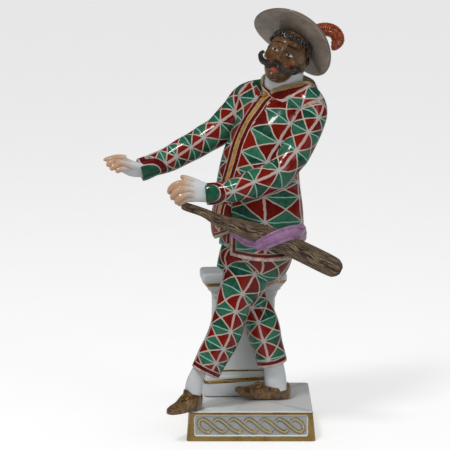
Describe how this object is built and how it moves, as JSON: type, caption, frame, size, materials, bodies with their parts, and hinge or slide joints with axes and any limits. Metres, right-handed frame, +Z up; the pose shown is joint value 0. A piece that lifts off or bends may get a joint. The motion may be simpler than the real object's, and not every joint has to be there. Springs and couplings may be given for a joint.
{
  "type": "porcelain harlequin figure",
  "caption": "Glazed porcelain harlequin in a lozenge-patterned suit, leaning back before a white pedestal on a square plinth with gilded plait panels.",
  "frame": {"origin": "middle of the plinth's underside", "axes": "+Z up, +X to the right as seen from the front, +Y to the back"},
  "size_m": [0.0845, 0.049, 0.1503],
  "materials": {
    "painted_porcelain": "enamel colours painted in red and green lozenges with pale lines, under a bright gloss",
    "white_porcelain": "clear gloss glaze over a cool white body, with thin gilded lines",
    "gilded_porcelain": "white glaze with gilded borders and a gilded plait in low relief"
  },
  "bodies": {
    "root": {"figure": "painted_porcelain", "pedestal": "white_porcelain", "plinth": "gilded_porcelain"}
  },
  "joints": []
}
